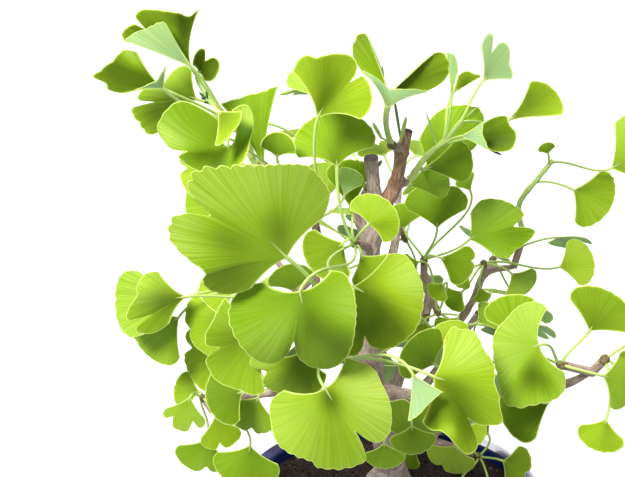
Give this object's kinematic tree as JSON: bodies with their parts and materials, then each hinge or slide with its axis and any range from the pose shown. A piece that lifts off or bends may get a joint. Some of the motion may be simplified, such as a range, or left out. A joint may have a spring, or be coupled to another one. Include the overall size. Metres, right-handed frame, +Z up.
{
  "type": "ginkgo bonsai",
  "caption": "Young ginkgo tree with fan leaves on short spurs, growing from soil in a low oval glazed pot on four feet.",
  "frame": {"origin": "on the surface that the pot's feet stand on, under the middle of the whole tree's box", "axes": "+Z up, -Y towards the viewer of the picture, +X to the viewer's right"},
  "size_m": [0.3154, 0.2688, 0.3674],
  "materials": {
    "glazed_stoneware": "dark cobalt gloss glaze",
    "potting_soil": "moist granular, matte",
    "bark": "rough grey-brown bark",
    "screen_plastic": "moulded mesh, matte",
    "ginkgo_leaf": "thin leaf with fine fanned veins, satin"
  },
  "bodies": {
    "root": {"drain_screen_left": "screen_plastic", "drain_screen_right": "screen_plastic", "pot": "glazed_stoneware", "soil": "potting_soil", "spray_back_1": "ginkgo_leaf", "spray_back_2": "ginkgo_leaf", "spray_back_3": "ginkgo_leaf", "spray_back_4": "ginkgo_leaf", "spray_back_cluster": "ginkgo_leaf", "spray_back_high_1": "ginkgo_leaf", "spray_back_high_2": "ginkgo_leaf", "spray_back_high_3": "ginkgo_leaf", "spray_back_left_1": "ginkgo_leaf", "spray_back_left_2": "ginkgo_leaf", "spray_back_left_3": "ginkgo_leaf", "spray_back_left_4": "ginkgo_leaf", "spray_back_low_1": "ginkgo_leaf", "spray_back_low_2": "ginkgo_leaf", "spray_back_mid": "ginkgo_leaf", "spray_back_right_1": "ginkgo_leaf", "spray_crown_left": "ginkgo_leaf", "spray_cup": "ginkgo_leaf", "spray_far_right": "ginkgo_leaf", "spray_far_right_shoot": "ginkgo_leaf", "spray_front": "ginkgo_leaf", "spray_left_lower": "ginkgo_leaf", "spray_left_mid": "ginkgo_leaf", "spray_left_tip": "ginkgo_leaf", "spray_low_back": "ginkgo_leaf", "spray_low_mid": "ginkgo_leaf", "spray_mid": "ginkgo_leaf", "spray_mid_back": "ginkgo_leaf", "spray_right": "ginkgo_leaf", "spray_right_back_1": "ginkgo_leaf", "spray_right_back_2": "ginkgo_leaf", "spray_right_low": "ginkgo_leaf", "spray_right_mid": "ginkgo_leaf", "spray_top": "ginkgo_leaf", "spray_top_mid": "ginkgo_leaf", "spray_top_right": "ginkgo_leaf", "trunk": "bark"}
  },
  "joints": []
}
